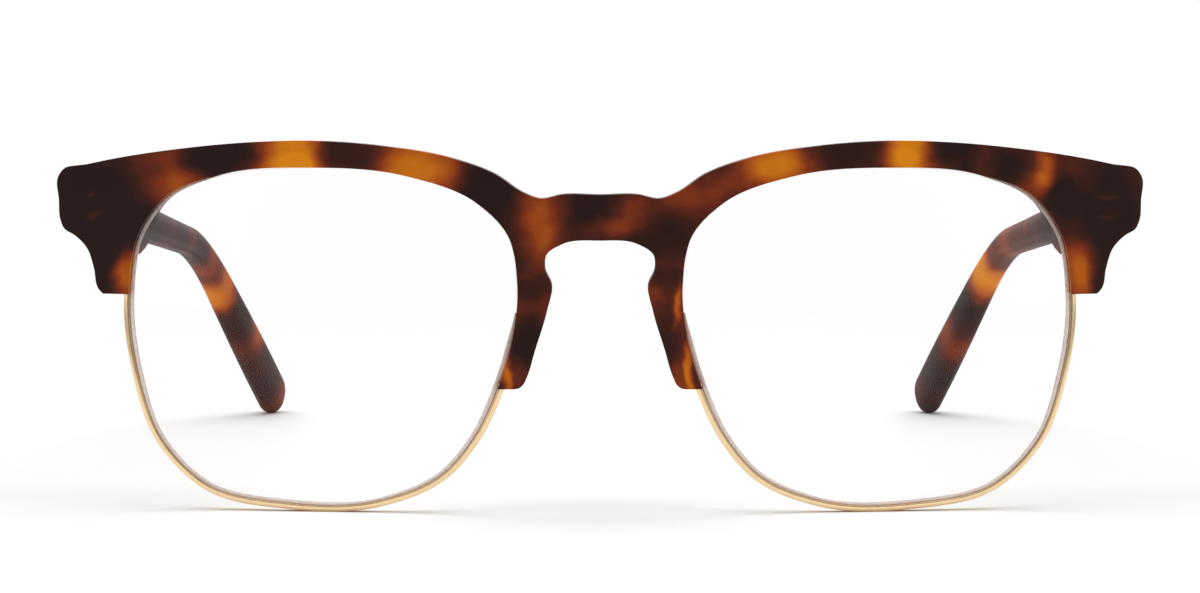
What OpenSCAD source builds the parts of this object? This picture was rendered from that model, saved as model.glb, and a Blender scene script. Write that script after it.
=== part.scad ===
// Browline eyeglasses: milled tortoise front with keyhole bridge, half rims of
// gold wire, bevelled lenses, sunk five-barrel hinges and wire-core temples.
// Millimetres, +Z up, the wearer looks along -Y, standing on rims and temple tips.

/* [Front] */
// Nasal gap between the two eye openings
bridge_w = 21.4; // [18:0.1:25]
// Width of each eye opening
lens_w = 51.2; // [43:0.1:61]
// Height of each eye opening
lens_h = 44; // [37:0.1:52]
// Thickness of the acetate front
front_t = 4.2; // [3.6:0.1:5.2]
// Radius of the bend of the front, seen from above
front_r = 320; // [260:5:400]
// Rounding of the front's edges
edge_r = 0.6; // [0.3:0.05:0.8]
// Reach of the lug outside the eye opening
lug_w = 9.1; // [8.2:0.1:11]
// Depth that the mitred end is milled beyond the front's thickness
boss_d = 2.3; // [1.5:0.1:3.5]
// Reach of the mitred end behind the side of the eye opening
boss_w = 2; // [0:0.1:2.4]
// Height of the bridge between top edge and keyhole
bridge_h = 5.9; // [4.8:0.1:7]

/* [Rims and lenses] */
// Radial thickness of the gold wire
rim_t = 0.8; // [0.7:0.05:1.1]
// Depth of the gold wire, front to back
rim_d = 1.8; // [1.6:0.05:2.4]
// Thickness of the lenses
lens_t = 2; // [1.6:0.1:2.4]
// Radius of the lens's middle surface
lens_r = 132; // [110:1:180]
// Thickness of the tongue round the lens
tongue_t = 0.7; // [0.5:0.05:0.9]
// Reach of the tongue past the eye opening
tongue_w = 0.4; // [0.3:0.05:0.45]
// Depth of the groove in the acetate
groove_d = 0.6; // [0.5:0.05:0.7]

/* [Nose pads] */
// Depth of the pads behind the legs
pad_d = 4.3; // [3.2:0.1:5]
// Half thickness of the pads
pad_r = 0.9; // [0.7:0.05:1.1]

/* [Temples] */
// Length from the butt to the middle of the bend
shaft_len = 96; // [85:1:112]
// Length from the middle of the bend to the tip
ear_len = 49; // [42:1:56]
// Radius of the ear bend
bend_r = 48; // [35:1:60]
// Thickness at the butt
temple_t = 4.2; // [4:0.1:5]
// Height at the butt
butt_h = 7.1; // [6.4:0.1:7.6]
// Height of the slimmest part
waist_h = 4.4; // [3.8:0.1:5.2]
// Radius of the paddle end
tip_r = 3.6; // [3:0.1:4.2]
// Inward lean of the shaft, for each millimetre of length
shaft_lean = 0.047; // [0.02:0.001:0.07]
// Diameter of the core wire
core_d = 1.2; // [1:0.1:1.6]

/* [Hinges] */
// Radius of the knuckles
barrel_r = 1.25; // [1.1:0.05:1.4]
// Height of one knuckle with its gap
barrel_pitch = 1.05; // [0.95:0.05:1.2]
// Diameter of the hinge screw
pin_d = 1.4; // [1.2:0.05:1.5]
// Thickness of the hinge leaves
leaf_t = 1.2; // [1:0.05:1.3]
// Length of the leaf that is sunk in the temple
leaf_l = 8.5; // [7:0.1:10]

/* [Fits] */
// Radial clearance of the hinge screw in its knuckles
pin_gap = 0.05; // [0.02:0.01:0.08]
// Gap between neighbouring knuckles
barrel_gap = 0.04; // [0.03:0.01:0.08]
// Gap round pieces that are sunk in the acetate
sink_gap = 0.03; // [0.02:0.01:0.06]
// Gap between the butt of the temple and the front
butt_gap = 0.05; // [0.04:0.01:0.1]
// Gap between the lens and what holds it
lens_gap = 0.1; // [0.08:0.01:0.15]

/* [Hidden] */
shell_c = "#4a2012";
gold_c = "#dcb76a";
steel_c = "#b9b6ae";
glass_c = [0.86, 0.9, 0.9, 0.35];
round_fn = 48;
ball_fn = 240;

// Landmarks of the eye opening, on the wearer's left
nasal_x = bridge_w / 2;
eye_x = nasal_x + lens_w / 2;
side_x = nasal_x + lens_w;

// Small helpers
function unit(v) = v / norm(v);
function mix(a, b, k) = a + (b - a) * k;
function smooth(a, b, t) = let (k = max(0, min(1, (t - a) / (b - a)))) k * k * (3 - 2 * k);
function power(v, e) = sign(v) * pow(abs(v), e);

// A smooth curve through a few points, measured along its chords.
// Each curve is [points, lengths, slopes].
function lengths(p) = [for (i = 0, s = 0; i < len(p);
    s = s + (i + 1 < len(p) ? norm(p[i + 1] - p[i]) : 0), i = i + 1) s];
function chord_dir(p, c, i) = (p[i + 1] - p[i]) / (c[i + 1] - c[i]);
function slopes(p, c, first) = let (n = len(p) - 1) [for (i = [0:n])
    i == 0 ? (is_undef(first) ? chord_dir(p, c, 0) : first)
    : i == n ? chord_dir(p, c, n - 1)
    : (chord_dir(p, c, i) * (c[i] - c[i - 1]) + chord_dir(p, c, i - 1) * (c[i + 1] - c[i]))
        / (c[i + 1] - c[i - 1])];
function curve(p, first) = let (c = lengths(p)) [p, c, slopes(p, c, first)];
function span_of(c, s) = max([for (i = [0:len(c) - 2]) i == 0 || c[i] <= s ? i : 0]);
function at(q, s) = let (i = span_of(q[1], s), h = q[1][i + 1] - q[1][i],
    w = (s - q[1][i]) / h, w2 = w * w, w3 = w2 * w)
    q[0][i] * (2 * w3 - 3 * w2 + 1) + q[2][i] * h * (w3 - 2 * w2 + w)
    + q[0][i + 1] * (3 * w2 - 2 * w3) + q[2][i + 1] * h * (w3 - w2);
function key(q, i) = let (k = floor(i)) k >= len(q[1]) - 1 ? q[1][len(q[1]) - 1]
    : mix(q[1][k], q[1][k + 1], i - k);

// Eye shape in halves of its width and height, from the lug tip over the top
eye_form = [[0.99, 0.245], [0.93, 0.62], [0.8, 0.82], [0.5, 0.96], [0.057, 1],
    [-0.44, 0.951], [-0.8, 0.79], [-0.95, 0.61], [-1, 0.32], [-0.98, 0.02],
    [-0.9, -0.3], [-0.79, -0.575], [-0.62, -0.81], [-0.3, -0.97], [0.176, -0.992],
    [0.6, -0.885], [0.83, -0.62], [0.95, -0.226]];
eye_n = len(eye_form);
eye_curve = curve([for (i = [-1:eye_n + 1]) let (q = eye_form[(i + eye_n) % eye_n])
    [q.x * lens_w / 2, q.y * lens_h / 2]]);
function eye_key(i) = key(eye_curve, i + 1);
function eye_local(s, out) = let (p = at(eye_curve, s),
    t = unit(at(eye_curve, s + 0.02) - at(eye_curve, s - 0.02)))
    p + out * [t.y, -t.x];
eye_sides = 84;
function eye_s(i) = mix(eye_key(0), eye_key(eye_n), i / eye_sides);

// The outside of the gold wire stands on the ground
eye_z = -min([for (i = [0:eye_sides - 1]) eye_local(eye_s(i), rim_t).y]);
top_z = eye_z + lens_h / 2;
function eye_at(s, out = 0) = eye_local(s, out) + [eye_x, eye_z];
function eye_ring(out) = [for (i = [0:eye_sides - 1]) eye_at(eye_s(i), out)];
lug_s = eye_key(eye_n);
leg_s = eye_key(10);
lug_z = eye_at(lug_s).y;
leg_x = eye_at(leg_s).x;
leg_z = eye_at(leg_s).y;

// Outer edge of the front, from the middle of the bridge to the lug tip
lug_x = side_x + lug_w;
brow_form = [[-0.672, 1.25], [-0.309, 2.85], [0.07, 3.48], [0.369, 3.25], [0.744, 2.35]];
bridge_z = top_z - 3.45;
outer_pts = concat(
    [[0, bridge_z], [0.45 * nasal_x, bridge_z + 0.05], [0.735 * nasal_x, bridge_z - 0.48],
        [0.92 * nasal_x, bridge_z + 0.25], [nasal_x + 2.8, bridge_z + 2.65]],
    [for (q = brow_form) [eye_x + q.x * lens_w / 2, top_z + q.y]],
    [[side_x + 1.7, top_z + 1.1], [lug_x - 3.5, top_z + 0.3], [lug_x - 0.5, top_z - 0.5],
        [lug_x + 0.25, top_z - 1.5], [lug_x, top_z - 4.35], [lug_x - 0.25, top_z - 7],
        [lug_x - 0.75, top_z - 8.1], [lug_x - 2.1, top_z - 8.9],
        [lug_x - 3.8, top_z - 10.6], [lug_x - 4.7, mix(lug_z, top_z - 10.6, 0.57)],
        [lug_x - 5.35, lug_z + 0.6], [lug_x - 5.9, lug_z + 0.05]]);
outer_curve = curve(outer_pts, [1, 0]);

// Keyhole and inner edge of the leg, from the middle of the bridge to the leg tip
arch_z = bridge_z - bridge_h;
function leg_at(k) = mix(leg_z, arch_z, k);
keyhole_pts = [[0, arch_z], [0.46 * nasal_x, leg_at(0.975)], [0.65 * nasal_x, leg_at(0.9)],
    [0.667 * nasal_x, leg_at(0.82)], [0.583 * nasal_x, leg_at(0.7)],
    [0.64 * nasal_x, leg_at(0.525)], [0.785 * nasal_x, leg_at(0.265)],
    [0.93 * nasal_x, leg_at(0.065)], [1.045 * nasal_x, leg_z + 0.1]];
keyhole_curve = curve(keyhole_pts, [1, 0]);

// Depths of the front: its bent face, its back and the plane of the mitred ends
function face_y(x) = front_r - sqrt(front_r * front_r - x * x);
butt_y = face_y(lug_x) + front_t + boss_d;

// Lens: two concentric spheres, turned about Z to follow the bend
lens_inset = 1.9;
lens_turn = asin((face_y(side_x) - face_y(nasal_x)) / lens_w);
lens_sag = lens_r - sqrt(lens_r * lens_r - lens_w * lens_w / 4);
lens_y = (face_y(side_x) + face_y(nasal_x)) / 2 + lens_inset - lens_sag;
ball = [eye_x - lens_r * sin(lens_turn), lens_y + lens_r * cos(lens_turn), eye_z];
function lens_mid(x, z) = ball.y
    - sqrt(lens_r * lens_r - pow(x - ball.x, 2) - pow(z - ball.z, 2));
groove_h = tongue_t / 2 + lens_gap;

// The front is a band of rungs between its outer and inner edges. The first
// strip runs from the lug tip over the brow to the middle of the bridge, the
// second from the root of the leg down to its tip.
cols = 4;
lug_n = 22;
brow_n = 15;
arch_n = 5;
leg_n = 12;
rungs = lug_n + brow_n + cols + arch_n;
root_i = lug_n + brow_n;
root_s = mix(eye_key(7), eye_key(8), 0.5);
brow_key = key(outer_curve, 9);
inner_key = key(outer_curve, 4);
dip_key = key(outer_curve, 2);
throat_key = key(keyhole_curve, 2.4);
function outer_s(i) = i <= lug_n ? mix(key(outer_curve, len(outer_pts) - 1), brow_key, i / lug_n)
    : i <= root_i ? mix(brow_key, inner_key, (i - lug_n) / brow_n)
    : i <= root_i + cols ? mix(inner_key, dip_key, (i - root_i) / cols)
    : mix(dip_key, 0, (i - root_i - cols) / arch_n);
function outer_p(i) = at(outer_curve, outer_s(i));
function brow_inner_s(i) = i <= lug_n ? mix(eye_key(0), eye_key(3), i / lug_n)
    : mix(eye_key(3), root_s, (i - lug_n) / brow_n);
function arch_p(i) = at(keyhole_curve, mix(throat_key, 0, (i - root_i - cols) / arch_n));
function leg_eye_p(j) = eye_at(mix(root_s, leg_s, j / leg_n));
function leg_key_p(j) = at(keyhole_curve,
    mix(throat_key, key(keyhole_curve, len(keyhole_pts) - 1), j / leg_n));

// The mitred end is milled deeper between these shares of the lug's rungs
function boss(i) = smooth(0.17, 0.3, i / lug_n) * (1 - smooth(0.68, 0.86, i / lug_n));
function back_y(x, i) = mix(face_y(x) + front_t, butt_y, boss(i));

// Edge of one half of the front, clockwise as seen from the front
edge = concat(
    [for (i = [rungs:-1:0]) outer_p(i)],
    [for (k = [1:cols - 1]) mix(outer_p(0), eye_at(brow_inner_s(0)), k / cols)],
    [for (i = [0:root_i]) eye_at(brow_inner_s(i))],
    [for (j = [1:leg_n]) leg_eye_p(j)],
    [for (k = [cols - 1:-1:1]) mix(leg_key_p(leg_n), leg_eye_p(leg_n), k / cols)],
    [for (j = [leg_n:-1:0]) leg_key_p(j)],
    [for (i = [root_i + cols + 1:rungs]) arch_p(i)]);
edge_n = len(edge);
eye_first = rungs + cols;
eye_last = rungs + cols + root_i + leg_n;
function flip(p) = [-p.x, p.y];
function inward(a, b) = let (t = unit(b - a)) [t.y, -t.x];
miters = [for (b = [0:edge_n - 1]) let (p = edge[b],
    n1 = inward(b == 0 ? flip(edge[1]) : edge[b - 1], p),
    n2 = inward(p, b == edge_n - 1 ? flip(edge[b - 1]) : edge[b + 1]))
    (n1 + n2) / (1 + n1 * n2)];
function snap(x) = abs(x) < 0.001 ? 0 : x;

// Section across the edge: each ring has an inset and a depth
function round_ring(k) = [edge_r * (1 - sin(k * 30)), edge_r * (1 - cos(k * 30))];
ring_n = 12;
function ring_p(r, b) = let (p = edge[b], m = miters[b],
    grooved = b >= eye_first && b <= eye_last,
    rr = r < 4 ? round_ring(r) : r > 7 ? round_ring(11 - r) : [0, 0],
    inset = grooved && (r == 5 || r == 6) ? groove_d : rr[0],
    edge_x = snap(p.x + inset * m.x), z = p.y + inset * m.y,
    rung = b <= rungs ? rungs - b : max(0, b - rungs - cols), deep = boss(rung),
    x = grooved && r > 7 ? mix(edge_x, min(edge_x, side_x - boss_w), deep) : edge_x,
    front = face_y(x), back = back_y(x, rung), mid = lens_mid(x, z),
    lip = groove_h + 0.08, rear = mix(lip, lens_t / 2 + 2 * lens_gap, deep))
    [x, r < 4 ? front + rr[1]
        : r > 7 ? back - rr[1]
        : grooved ? mid + [-lip, -groove_h, groove_h, rear][r - 4]
        : mix(front + edge_r, back - edge_r, (r - 3) / 5), z];

// Inner points of the two caps, between the inset edges
inset_edge = [for (b = [0:edge_n - 1]) edge[b] + edge_r * miters[b]];
leg_base = rungs + 2 * cols + root_i + 2 * leg_n;
function rung_p(i, k) = let (a = inset_edge[rungs - i],
    b = i <= root_i ? inset_edge[rungs + cols + i]
    : i >= root_i + cols ? inset_edge[leg_base + i - root_i - cols]
    : mix(inset_edge[rungs + cols + root_i], inset_edge[leg_base], (i - root_i) / cols))
    mix(a, b, k / cols);
function leg_p(j, k) = mix(inset_edge[leg_base - j], inset_edge[rungs + cols + root_i + j],
    k / cols);
cap_pts = concat(
    [for (i = [1:rungs]) for (k = [1:cols - 1]) [rung_p(i, k), i]],
    [for (j = [0:leg_n - 1]) for (k = [1:cols - 1]) [leg_p(j, k), rungs]]);
half_pts = concat(
    [for (r = [0:ring_n - 1]) for (b = [0:edge_n - 1]) ring_p(r, b)],
    [for (q = cap_pts) let (p = q[0]) [snap(p.x), face_y(p.x), p.y]],
    [for (q = cap_pts) let (p = q[0]) [snap(p.x), back_y(p.x, q[1]), p.y]]);
half_n = len(half_pts);

// Numbers of the points of each cap, front 0 and back 1
function edge_id(c, b) = (c == 0 ? 0 : ring_n - 1) * edge_n + b;
function cap_id(c, q) = ring_n * edge_n + c * len(cap_pts) + q;
function leg_in(c, j, k) = cap_id(c, (rungs + j) * (cols - 1) + k - 1);
function rung_id(c, i, k) = k == 0 ? edge_id(c, rungs - i)
    : i == 0 ? edge_id(c, rungs + k)
    : k < cols ? cap_id(c, (i - 1) * (cols - 1) + k - 1)
    : i <= root_i ? edge_id(c, rungs + cols + i)
    : i < root_i + cols ? leg_in(c, 0, cols - i + root_i)
    : edge_id(c, leg_base + i - root_i - cols);
function leg_id(c, j, k) = k == 0 ? edge_id(c, leg_base - j)
    : k == cols ? edge_id(c, rungs + cols + root_i + j)
    : j == leg_n ? edge_id(c, leg_base - leg_n - k)
    : leg_in(c, j, k);
function quad(a, b, c, d) = [[a, b, c], [a, c, d]];
function turned(f) = [for (i = [len(f) - 1:-1:0]) f[i]];
cap_faces = [for (c = [0, 1]) each concat(
    [for (i = [0:rungs - 1]) for (k = [0:cols - 1]) each [for (f = quad(rung_id(c, i, k),
        rung_id(c, i, k + 1), rung_id(c, i + 1, k + 1), rung_id(c, i + 1, k)))
        c == 0 ? f : turned(f)]],
    [for (j = [0:leg_n - 1]) for (k = [0:cols - 1]) each [for (f = quad(leg_id(c, j, k),
        leg_id(c, j, k + 1), leg_id(c, j + 1, k + 1), leg_id(c, j + 1, k)))
        c == 0 ? f : turned(f)]])];
wall_faces = [for (r = [0:ring_n - 2]) for (b = [0:edge_n - 2])
    each quad(r * edge_n + b, (r + 1) * edge_n + b, (r + 1) * edge_n + b + 1, r * edge_n + b + 1)];
half_faces = concat(cap_faces, wall_faces);
function twin(i) = half_pts[i].x == 0 ? i : i + half_n;

// Hinge axis of the wearer's left temple
inner_x = lug_x - temple_t;
axis_in = barrel_r + 0.2;
axis_x = inner_x - axis_in;
axis_y = butt_y + axis_in;
hinge_z = top_z - 4.4;
front_leaf_w = 5;
leaf_x = axis_x + barrel_r - front_leaf_w;
knuckles = 5;
leaf_w = knuckles * barrel_pitch - barrel_gap;
temple_leaf_w = leaf_w - 0.8;

// Path of a temple: straight shaft, round bend, straight ear
shaft_drop = 0.108;
ear_lean = 0.24;
butt_p = [lug_x - temple_t / 2, butt_y + butt_gap, hinge_z];
shaft_v = unit([-shaft_lean, 1, -shaft_drop]);
ear_fall = (butt_p.z + shaft_len * shaft_v.z - tip_r) / (ear_len - tip_r);
ear_v = let (k = sqrt((1 - ear_fall * ear_fall) / (1 + ear_lean * ear_lean)))
    [-ear_lean * k, k, -ear_fall];
bend_a = acos(shaft_v * ear_v);
bend_v = unit(ear_v - (shaft_v * ear_v) * shaft_v);
bend_cut = bend_r * tan(bend_a / 2);
straight_len = shaft_len - bend_cut;
arc_len = bend_r * bend_a * PI / 180;
temple_len = straight_len + arc_len + ear_len - bend_cut;
bend_p = butt_p + straight_len * shaft_v;
ear_p = butt_p + shaft_len * shaft_v + bend_cut * ear_v;
function arc_a(s) = (s - straight_len) / bend_r * 180 / PI;
function path_p(s) = s <= straight_len ? butt_p + s * shaft_v
    : s >= straight_len + arc_len ? ear_p + (s - straight_len - arc_len) * ear_v
    : let (a = arc_a(s)) bend_p + bend_r * (sin(a) * shaft_v + (1 - cos(a)) * bend_v);
function path_v(s) = s <= straight_len ? shaft_v
    : s >= straight_len + arc_len ? ear_v
    : let (a = arc_a(s)) cos(a) * shaft_v + sin(a) * bend_v;

// Sections of a temple, with height, thickness and squareness along its length
shoulder_s = 25;
shoulder_h = 5.4;
waist_t = temple_t - 0.4;
paddle_t = 5;
function body_h(s) = mix(mix(mix(butt_h, shoulder_h, smooth(0, shoulder_s, s)), waist_h,
    smooth(shoulder_s, 0.6 * temple_len, s)), 2 * tip_r,
    smooth(0.66 * temple_len, temple_len - 2 * tip_r, s));
function body_t(s) = mix(mix(temple_t, waist_t, smooth(0, 0.4 * temple_len, s)), paddle_t,
    smooth(0.55 * temple_len, temple_len - 3 * tip_r, s));
function squareness(s) = mix(5.5, 2.8, smooth(4, 45, s));
sides = 20;
function section(s, cut = 0, scale = 1) = let (p = path_p(s), t = path_v(s),
    k = smooth(0, shoulder_s, s),
    u = unit(mix([1, 0, 0], unit([t.y, -t.x, 0]), k)),
    w = unit(mix([0, 0, 1], cross(unit([t.y, -t.x, 0]), t), k)),
    e = 2 / squareness(s), hu = body_t(s) / 2 - cut, hw = body_h(s) / 2 - cut)
    [for (i = [0:sides - 1]) let (a = i * 360 / sides)
        p + scale * (hu * power(cos(a), e) * u + hw * power(sin(a), e) * w)];
butt_round = 0.35;
paddle_s = temple_len - tip_r;
stations = concat([1, 4, 9, 16, 25, 38, 52, 66], [for (i = [0:14]) mix(straight_len, paddle_s, i / 14)]);
temple_rings = concat(
    [section(0, butt_round), section(0.1, 0.1), section(butt_round)],
    [for (s = stations) section(s)],
    [for (a = [25, 48, 68, 84]) section(paddle_s + tip_r * sin(a), 0, cos(a))]);
temple_pts = concat([for (r = temple_rings) each r], [path_p(temple_len)]);
function tube_faces(rings, n) = concat(
    [[for (i = [n - 1:-1:0]) i]],
    [for (r = [0:rings - 2]) for (i = [0:n - 1]) let (j = (i + 1) % n)
        each quad(r * n + i, r * n + j, (r + 1) * n + j, (r + 1) * n + i)],
    [for (i = [0:n - 1]) [(rings - 1) * n + i, (rings - 1) * n + (i + 1) % n, rings * n]]);
temple_faces = tube_faces(len(temple_rings), sides);
depth = max([for (p = temple_pts) p.y]);

// Puts a solid that is drawn from the bridge's front face on the shared origin,
// and mirrors it for the wearer's right
module seated() {
    translate([0, -depth / 2, 0])
        children();
}
module for_side(side) {
    seated()
        if (side > 0)
            children();
        else
            mirror([1, 0, 0])
                children();
}

// Frame of the bent back at x: across, outwards, up
module on_back(x) {
    translate([x, face_y(x) + front_t, 0])
        rotate([0, 0, asin(x / front_r)])
            children();
}

// Upright prism on an outline drawn in X and Z
module prism(points, y0, y1) {
    translate([0, y1, 0])
        rotate([90, 0, 0])
            linear_extrude(y1 - y0)
                polygon(points);
}

// Frame along the shaft of a temple, with its middle line as Y
module along_shaft() {
    u = unit([shaft_v.y, -shaft_v.x, 0]);
    w = cross(u, shaft_v);
    multmatrix([[u.x, shaft_v.x, w.x, butt_p.x], [u.y, shaft_v.y, w.y, butt_p.y],
        [u.z, shaft_v.z, w.z, butt_p.z], [0, 0, 0, 1]])
        children();
}

// Tabs of the wire: a neck beside the lens tongue and a plate sunk in the back
outer_tab_x = side_x + 1.7;
inner_tab_x = nasal_x + 0.7;
tab_t = 0.8;
tab_h = 3.2;
neck_w = 0.8;
neck_d = 1.2;
outer_tab_w = 2.2;
inner_tab_w = 1.5;
outer_screw_x = outer_tab_x + 0.15;
outer_screw_z = lug_z + 2.1;
inner_screw_z = leg_z + 2.2;
rim_screw_d = 0.8;
rim_screw_l = 2.6;
rim_head_d = 1.3;
rim_head_h = 0.35;
module block(low, high, gap) {
    translate(low - gap * [1, 1, 1])
        cube(high - low + 2 * gap * [1, 1, 1]);
}
module plate(x, z, w, gap, out = 0) {
    on_back(x)
        block([-w / 2, -tab_t, z + 0.3], [w / 2, out - sink_gap, z + tab_h], gap);
}
module outer_tab(gap, out = 0) {
    y = lens_mid(side_x, lug_z) - neck_d / 2;
    x = side_x + 0.27;
    block([x, y, lug_z - 0.35], [x + neck_w, face_y(side_x) + front_t - 0.3, lug_z + 1.2], gap);
    plate(outer_tab_x, lug_z, outer_tab_w, gap, out);
}
module inner_tab(gap, out = 0) {
    y = lens_mid(nasal_x + 2, leg_z) - neck_d / 2;
    block([inner_tab_x, y, leg_z - 0.8], [leg_x - 0.61, y + neck_d, leg_z - 0.2], gap);
    block([inner_tab_x, y, leg_z - 0.8],
        [inner_tab_x + neck_w - 0.1, face_y(nasal_x) + front_t - 0.3, leg_z + 0.9], gap);
    plate(inner_tab_x, leg_z, inner_tab_w, gap, out);
}
module rim_screw_at(x, z, gap) {
    on_back(x)
        translate([0, 0.1, z])
            rotate([90, 0, 0])
                cylinder(d = rim_screw_d + 2 * gap, h = rim_screw_l + gap, $fn = round_fn);
}
module rim_screw(x, z) {
    color(steel_c)
        difference() {
            union() {
                rim_screw_at(x, z, 0);
                on_back(x)
                    translate([0, rim_head_h, z])
                        rotate([90, 0, 0])
                            cylinder(d = rim_head_d, h = rim_head_h, $fn = round_fn);
            }
            on_back(x)
                translate([-rim_head_d, rim_head_h - 0.15, z - 0.1])
                    cube([2 * rim_head_d, 1, 0.2]);
        }
}

module front_cuts() {
    outer_tab(sink_gap, 2);
    inner_tab(sink_gap, 2);
    rim_screw_at(outer_screw_x, outer_screw_z, sink_gap);
    rim_screw_at(inner_tab_x, inner_screw_z, sink_gap);
    translate([leaf_x - sink_gap, butt_y - leaf_t - sink_gap, hinge_z - leaf_w / 2 - sink_gap])
        cube([front_leaf_w + 2 * sink_gap, leaf_t + 4, leaf_w + 2 * sink_gap]);
}
module front_frame() {
    color(shell_c)
        seated()
            difference() {
                polyhedron(concat(half_pts, [for (p = half_pts) [-p.x, p.y, p.z]]),
                    concat(half_faces, [for (f = half_faces) turned([for (i = f) twin(i)])]),
                    convexity = 8);
                front_cuts();
                mirror([1, 0, 0])
                    front_cuts();
            }
}

// Pads are cemented to the back of the legs and splay away from the nose
pad_y = face_y(nasal_x) + front_t;
module nose_pad(side) {
    color(shell_c)
        for_side(side)
            intersection() {
                hull() {
                    translate([0.77 * nasal_x, pad_y, leg_at(0.72)])
                        sphere(pad_r, $fn = 20);
                    translate([0.94 * nasal_x, pad_y, leg_at(0.26)])
                        sphere(pad_r, $fn = 20);
                    translate([0.87 * nasal_x, pad_y + pad_d - 1.6 * pad_r, leg_at(0.66)])
                        sphere(pad_r, $fn = 20);
                    translate([0.93 * nasal_x, pad_y + pad_d - pad_r, leg_at(0.48)])
                        sphere(pad_r, $fn = 20);
                    translate([0.99 * nasal_x, pad_y + pad_d - 1.6 * pad_r, leg_at(0.29)])
                        sphere(pad_r, $fn = 20);
                }
                translate([0, pad_y + sink_gap, 0])
                    cube([4 * nasal_x, 3 * pad_d, 2 * top_z]);
            }
}

module shell(t) {
    difference() {
        translate(ball)
            sphere(lens_r + t / 2, $fn = ball_fn);
        translate(ball)
            sphere(lens_r - t / 2, $fn = ball_fn);
    }
}
module lens(side) {
    color(glass_c)
        for_side(side) {
            intersection() {
                prism(eye_ring(-lens_gap), lens_y - 5, lens_y + 15);
                shell(lens_t);
            }
            intersection() {
                prism(eye_ring(tongue_w), lens_y - 5, lens_y + 15);
                shell(tongue_t);
            }
        }
}

// Half rim: a grooved wire swept along the lower part of the eye shape
rim_round = 0.2;
rim_wall = rim_t - 0.25;
rim_profile = let (h = rim_d / 2) [[0, -h], [rim_t - rim_round, -h], [rim_t, rim_round - h],
    [rim_t, h - rim_round], [rim_t - rim_round, h], [0, h], [0, groove_h],
    [rim_wall, groove_h - 0.03], [rim_wall, 0.03 - groove_h], [0, -groove_h]];
rim_n = 44;
rim_pts = [for (i = [0:rim_n]) let (s = mix(lug_s - 0.12, leg_s + 0.12, i / rim_n),
    p = eye_at(s), t = eye_at(s, 1) - p) for (q = rim_profile)
    let (x = p.x + q.x * t.x, z = p.y + q.x * t.y) [x, lens_mid(x, z) + q.y, z]];
rim_side = len(rim_profile);
function rim_id(i, k) = i * rim_side + k % rim_side;
rim_cap = [[0, 1, 2, 9], [2, 3, 8, 9], [3, 4, 7, 8], [4, 5, 6, 7]];
rim_faces = concat(
    [for (f = rim_cap) turned(f)],
    [for (f = rim_cap) [for (k = f) rim_id(rim_n, k)]],
    [for (i = [0:rim_n - 1]) for (k = [0:rim_side - 1])
        each quad(rim_id(i, k), rim_id(i, k + 1), rim_id(i + 1, k + 1), rim_id(i + 1, k))]);
module rim_wire(side) {
    color(gold_c)
        for_side(side)
            difference() {
                union() {
                    polyhedron(rim_pts, rim_faces, convexity = 6);
                    outer_tab(0);
                    inner_tab(0);
                }
                rim_screw_at(outer_screw_x, outer_screw_z, sink_gap);
                rim_screw_at(inner_tab_x, inner_screw_z, sink_gap);
            }
}

// Knuckles count from the lowest, the even ones belong to the front
module barrel(k) {
    translate([axis_x, axis_y, hinge_z + (k - knuckles / 2) * barrel_pitch + barrel_gap / 2])
        cylinder(r = barrel_r, h = barrel_pitch - barrel_gap, $fn = round_fn);
}
module pin_bore() {
    translate([axis_x, axis_y, hinge_z - knuckles * barrel_pitch])
        cylinder(d = pin_d + 2 * pin_gap, h = 2 * knuckles * barrel_pitch, $fn = round_fn);
}
module front_hinge(side) {
    color(gold_c)
        for_side(side)
            difference() {
                union() {
                    translate([leaf_x, butt_y - leaf_t, hinge_z - leaf_w / 2])
                        cube([front_leaf_w, leaf_t - 0.01, leaf_w]);
                    for (k = [0, 2, 4]) {
                        barrel(k);
                        translate([axis_x - barrel_r, butt_y - 0.6,
                            hinge_z + (k - knuckles / 2) * barrel_pitch + barrel_gap / 2])
                            cube([2 * barrel_r, axis_in + 0.6, barrel_pitch - barrel_gap]);
                    }
                }
                pin_bore();
            }
}
module temple_hinge(side) {
    color(gold_c)
        for_side(side)
            difference() {
                union() {
                    along_shaft()
                        translate([-temple_t / 2, 0.3, -temple_leaf_w / 2])
                            cube([leaf_t, leaf_l, temple_leaf_w]);
                    for (k = [1, 3]) {
                        barrel(k);
                        translate([axis_x, axis_y - barrel_r + 0.4,
                            hinge_z + (k - knuckles / 2) * barrel_pitch + barrel_gap / 2])
                            cube([axis_in + 0.6, 2 * barrel_r - 0.4, barrel_pitch - barrel_gap]);
                    }
                }
                pin_bore();
            }
}
head_d = 2;
head_h = 0.6;
module hinge_screw(side) {
    top = hinge_z + knuckles * barrel_pitch / 2;
    color(gold_c)
        for_side(side)
            difference() {
                union() {
                    translate([axis_x, axis_y, hinge_z - knuckles * barrel_pitch / 2])
                        cylinder(d = pin_d, h = knuckles * barrel_pitch + 0.1, $fn = round_fn);
                    translate([axis_x, axis_y, top + 0.02])
                        cylinder(d = head_d, h = head_h, $fn = round_fn);
                }
                translate([axis_x - head_d, axis_y - 0.15, top + head_h - 0.25])
                    cube([2 * head_d, 0.3, 1]);
            }
}

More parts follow.
